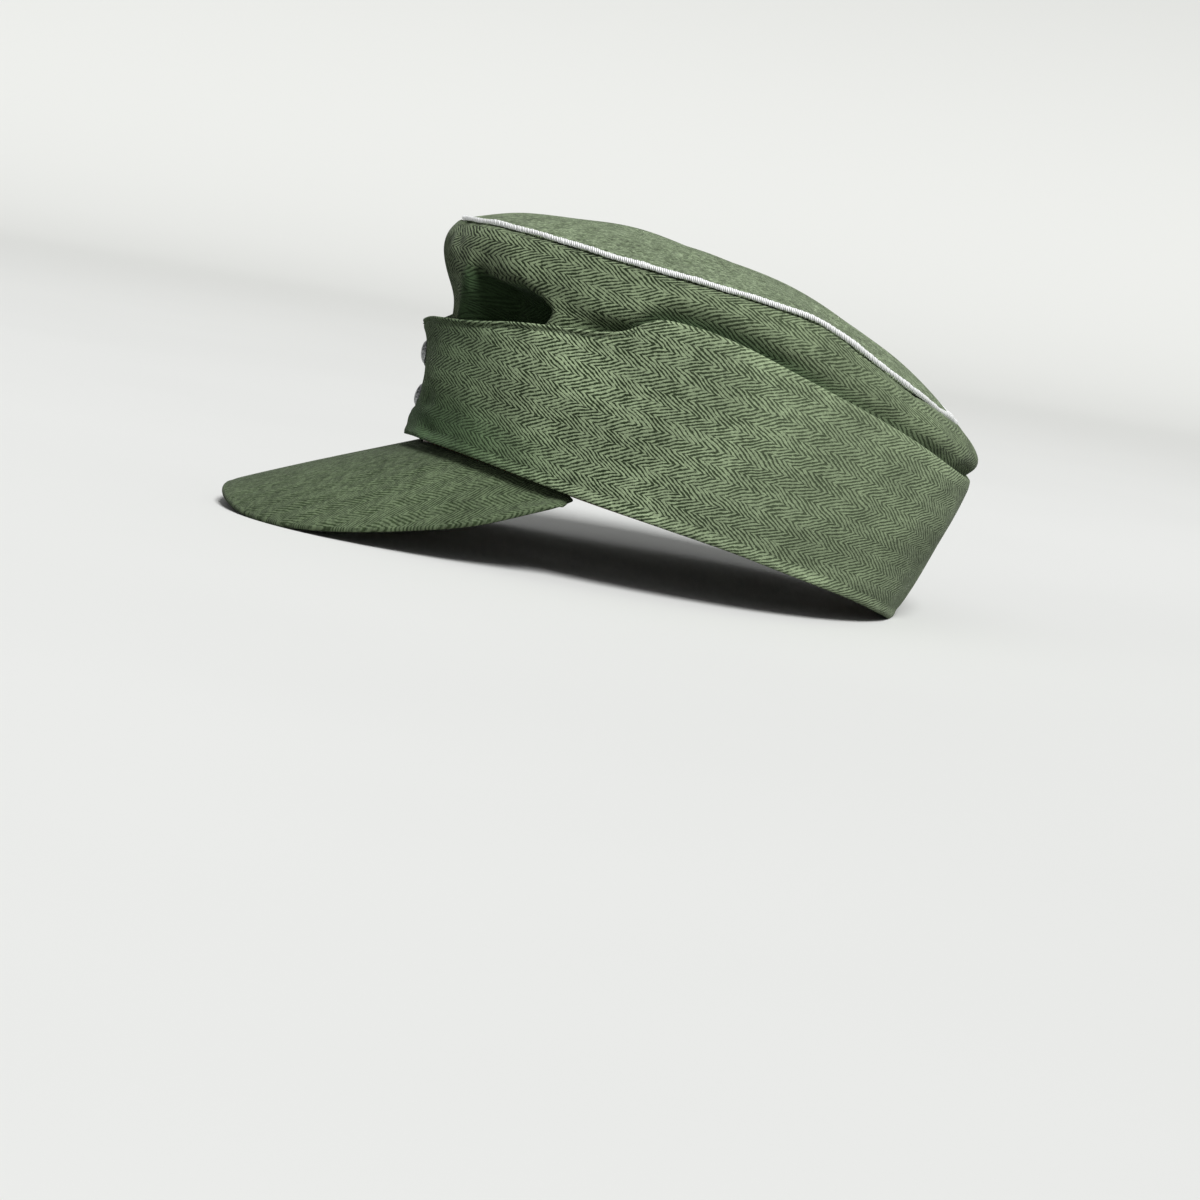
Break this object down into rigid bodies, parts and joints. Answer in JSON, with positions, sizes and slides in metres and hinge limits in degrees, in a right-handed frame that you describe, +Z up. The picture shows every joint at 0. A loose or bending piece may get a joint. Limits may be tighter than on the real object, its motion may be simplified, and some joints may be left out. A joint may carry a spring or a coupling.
{
  "type": "field cap",
  "caption": "Soft cloth field cap with a folded, front-buttoned side flap, a stiff cloth-covered peak and a bright cord round its top seam.",
  "frame": {"origin": "centre of the underside of the cap's box, on the surface that the cap rests on", "axes": "+Y from the peak to the back of the cap, +Z up, +X to the wearer's left"},
  "size_m": [0.184, 0.3084, 0.1405],
  "materials": {
    "cloth": "matt sage-green herringbone twill",
    "piping": "silver-white twisted cord",
    "leather": "smooth brown, satin",
    "button_metal": "pebbled, matt grey"
  },
  "bodies": {
    "root": {"crown_wall": "cloth", "crown_top": "cloth", "crown_piping": "piping", "flap": "cloth", "peak": "cloth", "sweatband": "leather", "button_upper": "button_metal", "button_lower": "button_metal"}
  },
  "joints": []
}
